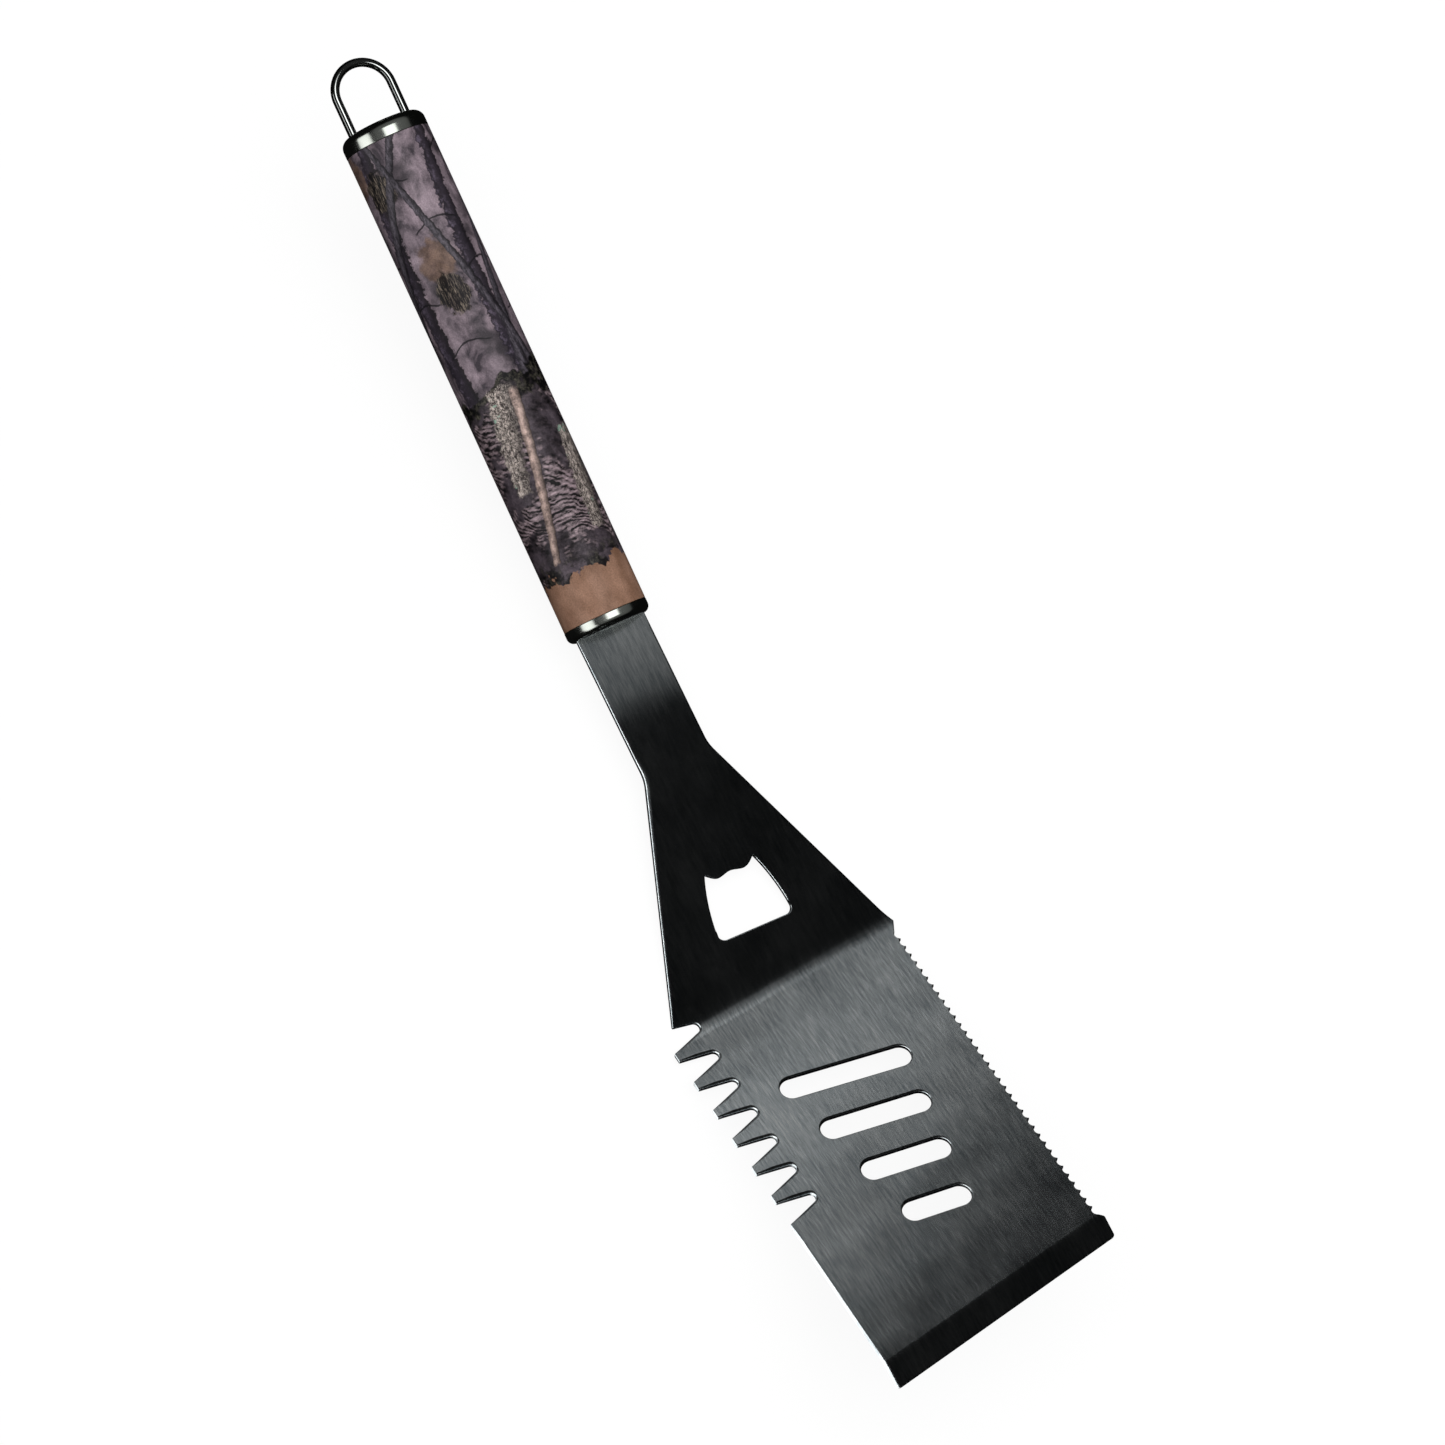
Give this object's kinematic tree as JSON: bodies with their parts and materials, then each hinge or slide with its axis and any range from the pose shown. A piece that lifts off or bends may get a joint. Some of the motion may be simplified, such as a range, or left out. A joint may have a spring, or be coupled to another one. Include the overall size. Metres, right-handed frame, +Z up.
{
  "type": "grill spatula",
  "caption": "Long-handled steel grill spatula with a bent slotted blade, a toothed edge, a serrated edge, a bottle opener and a wire hanging loop.",
  "frame": {"origin": "middle of the bounding box, on the surface the spatula lies on", "axes": "+X from the hanging loop towards the blade's tip, +Y towards the serrated edge, +Z up from the food side"},
  "size_m": [0.4498, 0.0854, 0.0585],
  "materials": {
    "brushed_blade": "brushed along the blade, satin",
    "polished_cap": "mirror polish",
    "polished_wire": "bright drawn wire",
    "printed_film": "satin, woodland print",
    "tube_steel": "plain drawn",
    "moulded_core": "matte",
    "rivet_steel": "plain"
  },
  "bodies": {
    "root": {"spatula_blade": "brushed_blade", "front_cap": "polished_cap", "rear_cap": "polished_cap", "handle_tube": "tube_steel", "printed_sleeve": "printed_film", "rear_plug": "moulded_core", "hanging_loop": "polished_wire", "core_half_upper": "moulded_core", "core_half_lower": "moulded_core", "tang_rivet_front": "rivet_steel", "tang_rivet_rear": "rivet_steel"}
  },
  "joints": []
}
